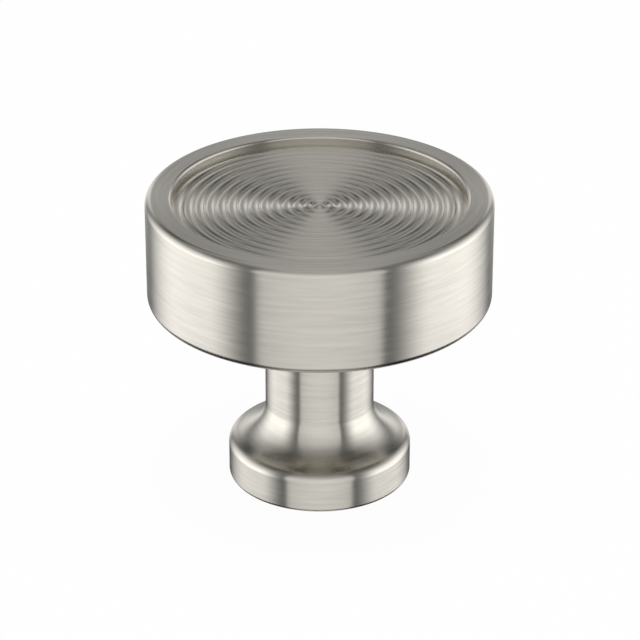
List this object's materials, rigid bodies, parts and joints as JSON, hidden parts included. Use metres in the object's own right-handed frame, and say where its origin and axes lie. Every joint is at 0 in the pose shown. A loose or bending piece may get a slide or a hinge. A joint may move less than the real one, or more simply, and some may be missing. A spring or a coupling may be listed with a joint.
{
  "type": "cabinet knob",
  "caption": "Round cabinet knob with a drum-shaped head, a recessed face of concentric rings, a flared neck and a tapped hole in its seat.",
  "frame": {"origin": "centre of the seat, the flat face that meets the drawer front", "axes": "+Z along the knob's axis, from the seat to the ringed face; X and Y lie in the seat plane"},
  "size_m": [0.032, 0.032, 0.0286],
  "materials": {
    "satin_nickel": "satin nickel plate over circumferential brushing, warm grey"
  },
  "bodies": {
    "root": {"knob": "satin_nickel"}
  },
  "joints": []
}
